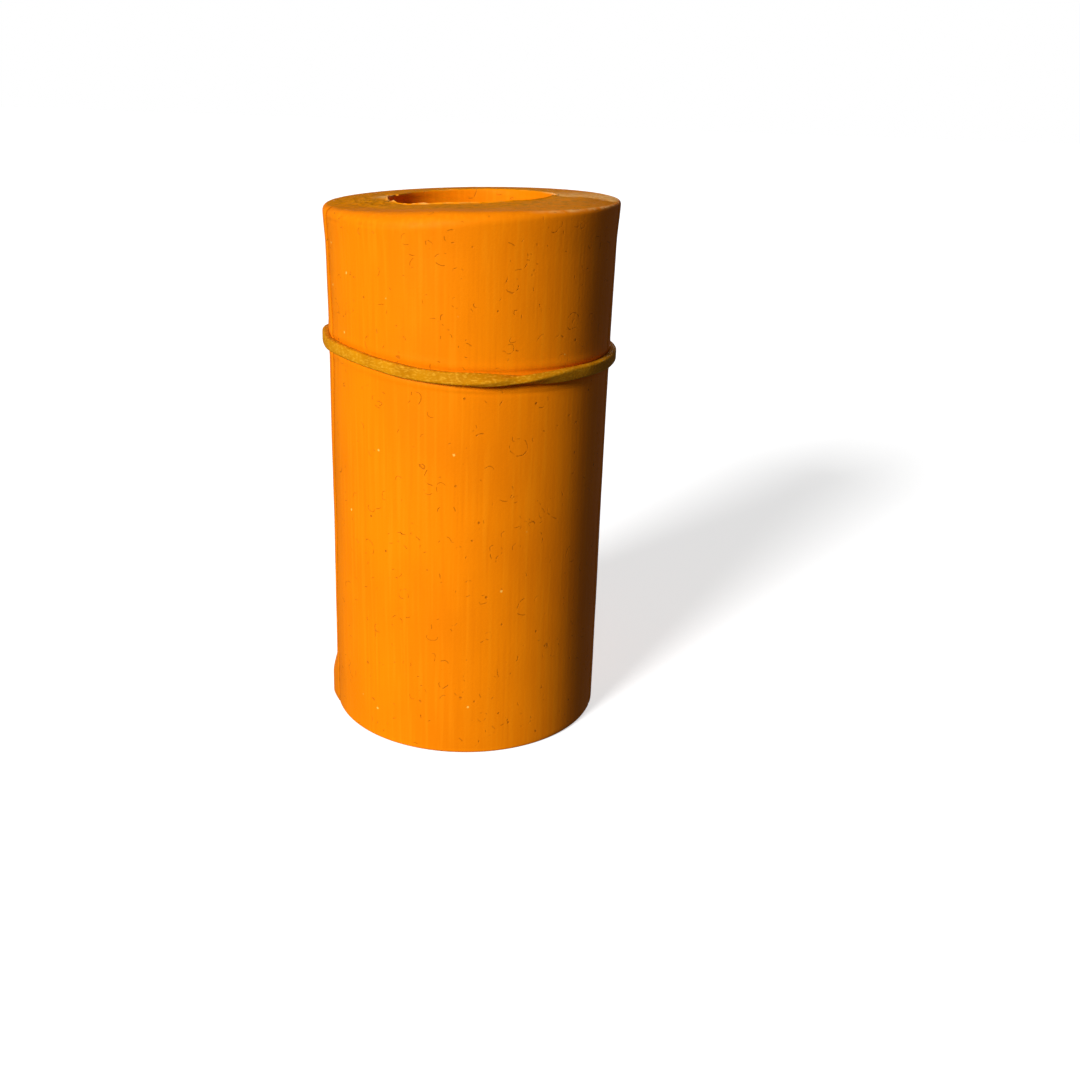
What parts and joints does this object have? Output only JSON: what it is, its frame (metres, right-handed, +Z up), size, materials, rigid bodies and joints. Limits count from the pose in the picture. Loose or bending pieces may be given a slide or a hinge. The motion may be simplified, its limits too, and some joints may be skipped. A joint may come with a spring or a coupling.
{
  "type": "candle mold",
  "caption": "Tall two-part silicone mold for a pillar candle with a sunk draped figure, held shut by a rubber band, with a wick hole in its floor.",
  "frame": {"origin": "middle of the base, on the surface that the mold stands on", "axes": "+Z up the mold's axis to its open mouth, -Y towards the front half, X along the line of the cut"},
  "size_m": [0.0873, 0.0872, 0.157],
  "materials": {
    "silicone": "satin orange silicone, slightly translucent",
    "band": "mustard natural rubber, semi-matte"
  },
  "bodies": {
    "rear": {"rear_half": "silicone"},
    "front": {"front_half": "silicone"},
    "band": {"rubber_band": "band"}
  },
  "joints": [
    {"name": "front_pull", "type": "slide", "parent": "rear", "child": "front", "axis": [0, -1, 0], "range_m": [0, 0.09], "deforming": ["rubber_band"]},
    {"name": "band_roll", "type": "slide", "parent": "rear", "child": "band", "axis": [0, 0, 1], "range_m": [-0.09, 0.06]}
  ]
}
